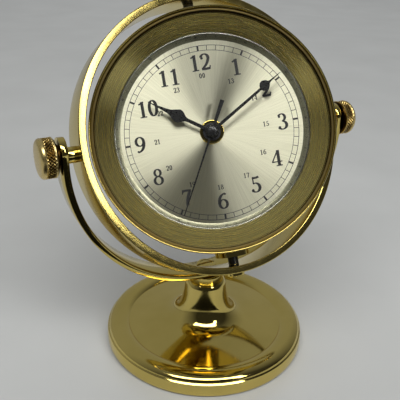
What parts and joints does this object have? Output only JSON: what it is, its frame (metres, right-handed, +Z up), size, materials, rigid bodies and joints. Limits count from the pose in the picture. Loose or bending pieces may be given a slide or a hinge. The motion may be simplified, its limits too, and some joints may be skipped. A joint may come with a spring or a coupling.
{
  "type": "gimballed desk clock",
  "caption": "Polished brass ship's deck clock: weighted round pedestal, half-round yoke, gimbal ring clamped by knurled thumbscrews, and a swivelling case with a sunburst dial.",
  "frame": {"origin": "centre of the round underside, on the table", "axes": "+Z up; the gimbal's tilt axis is parallel to X; the clock's front is toward -Y. The stored pose has the ring tipped back 26 degrees and the case swivelled 25.5 degrees toward -X."},
  "size_m": [0.1688, 0.1099, 0.1803],
  "materials": {
    "polished_brass": "mirror polished, lacquered",
    "satin_brass": "fine turned satin",
    "iron": "rough cast",
    "felt": "felt",
    "zinc_steel": "zinc plated",
    "black_nylon": "matte",
    "crystal_glass": "clear",
    "silvered_dial": "sunburst brushed, printed black",
    "black_hands": "satin black",
    "black_plastic": "moulded",
    "circuit_green": "solder mask",
    "copper_wire": "enamelled copper wire",
    "battery_jacket": "printed sleeve",
    "magnet": "sintered",
    "wheel_plastic": "moulded acetal"
  },
  "bodies": {
    "stand": {"base": "polished_brass", "base_weight": "iron", "felt_pad": "felt", "yoke_saddle": "polished_brass", "yoke": "polished_brass", "yoke_bolt": "polished_brass", "bolt_washer": "zinc_steel", "bolt_nut": "zinc_steel"},
    "left_clamp": {"left_collar": "polished_brass"},
    "left_screw": {"left_knob": "polished_brass"},
    "right_clamp": {"right_collar": "polished_brass"},
    "right_screw": {"right_knob": "polished_brass"},
    "ring": {"gimbal_ring": "polished_brass", "left_bush": "polished_brass", "right_bush": "polished_brass"},
    "case": {"case_body": "polished_brass", "upper_swivel_screw": "polished_brass", "lower_swivel_screw": "polished_brass", "upper_spacer": "black_nylon", "lower_spacer": "black_nylon", "bezel": "polished_brass", "crystal": "crystal_glass", "crystal_ring": "polished_brass", "reflector": "satin_brass", "dial": "silvered_dial", "dial_nut": "polished_brass", "movement_housing": "black_plastic", "movement_cover": "black_plastic", "cover_screws": "zinc_steel", "circuit_board": "circuit_green", "coil": "copper_wire", "stator": "zinc_steel", "battery": "battery_jacket", "battery_contacts": "zinc_steel"},
    "back": {"back_cover": "polished_brass"},
    "hour": {"hour_hand": "black_hands", "hour_wheel": "wheel_plastic"},
    "minute": {"minute_hand": "black_hands", "cannon_pinion": "wheel_plastic"},
    "second": {"second_hand": "black_hands", "second_wheel": "wheel_plastic"},
    "third": {"third_wheel": "wheel_plastic"},
    "centre": {"centre_wheel": "wheel_plastic"},
    "intermediate": {"intermediate_wheel": "wheel_plastic"},
    "magnet": {"rotor": "magnet"},
    "motion": {"motion_wheel": "wheel_plastic"},
    "setting": {"set_knob": "black_plastic"}
  },
  "joints": [
    {"name": "ring_tilt", "type": "hinge", "parent": "stand", "child": "ring", "pos_m": [0, 0, 0.116], "axis": [1, 0, 0], "continuous": true},
    {"name": "case_swivel", "type": "hinge", "parent": "ring", "child": "case", "pos_m": [0, 0, 0.116], "axis": [0, 0.4384, 0.8988], "continuous": true},
    {"name": "left_collar_slide", "type": "slide", "parent": "stand", "child": "left_clamp", "axis": [-1, 0, 0], "range_m": [0, 0.0008]},
    {"name": "left_knob_turn", "type": "hinge", "parent": "left_clamp", "child": "left_screw", "pos_m": [-0.08, 0, 0.116], "axis": [-1, 0, 0], "range_deg": [0, 360]},
    {"name": "right_collar_slide", "type": "slide", "parent": "stand", "child": "right_clamp", "axis": [1, 0, 0], "range_m": [0, 0.0008]},
    {"name": "right_knob_turn", "type": "hinge", "parent": "right_clamp", "child": "right_screw", "pos_m": [0.08, 0, 0.116], "axis": [1, 0, 0], "range_deg": [0, 360]},
    {"name": "back_cover_pull", "type": "slide", "parent": "case", "child": "back", "axis": [0.4305, 0.8112, -0.3957], "range_m": [0, 0.03]},
    {"name": "minute_turn", "type": "hinge", "parent": "case", "child": "minute", "pos_m": [0, 0, 0.116], "axis": [0.4305, 0.8112, -0.3957], "continuous": true},
    {"name": "hour_turn", "type": "hinge", "parent": "case", "child": "hour", "pos_m": [0, 0, 0.116], "axis": [0.4305, 0.8112, -0.3957], "continuous": true},
    {"name": "motion_turn", "type": "hinge", "parent": "case", "child": "motion", "pos_m": [0.0046, 0.00026, 0.12154], "axis": [0.4305, 0.8112, -0.3957], "continuous": true},
    {"name": "set_turn", "type": "hinge", "parent": "case", "child": "setting", "pos_m": [0.01191, -0.00287, 0.12307], "axis": [0.4305, 0.8112, -0.3957], "continuous": true},
    {"name": "second_turn", "type": "hinge", "parent": "case", "child": "second", "pos_m": [0, 0, 0.116], "axis": [0.4305, 0.8112, -0.3957], "continuous": true},
    {"name": "third_turn", "type": "hinge", "parent": "case", "child": "third", "pos_m": [-0.0046, 0.0042, 0.11962], "axis": [0.4305, 0.8112, -0.3957], "continuous": true},
    {"name": "centre_turn", "type": "hinge", "parent": "case", "child": "centre", "pos_m": [0, 0, 0.116], "axis": [0.4305, 0.8112, -0.3957], "continuous": true},
    {"name": "intermediate_turn", "type": "hinge", "parent": "case", "child": "intermediate", "pos_m": [-0.00469, -0.00027, 0.11035], "axis": [0.4305, 0.8112, -0.3957], "continuous": true},
    {"name": "rotor_turn", "type": "hinge", "parent": "case", "child": "magnet", "pos_m": [-0.01011, 0.00205, 0.10922], "axis": [0.4305, 0.8112, -0.3957], "continuous": true}
  ],
  "couplings": [
    {"joint": "left_knob_turn", "follows": "left_collar_slide", "rad_per_m": 7854},
    {"joint": "right_knob_turn", "follows": "right_collar_slide", "rad_per_m": 7854},
    {"joint": "hour_turn", "follows": "minute_turn", "ratio": 0.083333},
    {"joint": "motion_turn", "follows": "minute_turn", "ratio": -0.33333},
    {"joint": "set_turn", "follows": "minute_turn", "ratio": 0.66667},
    {"joint": "third_turn", "follows": "second_turn", "ratio": -0.13333},
    {"joint": "centre_turn", "follows": "second_turn", "ratio": 0.016667},
    {"joint": "intermediate_turn", "follows": "second_turn", "ratio": -6},
    {"joint": "rotor_turn", "follows": "second_turn", "ratio": 30}
  ]
}
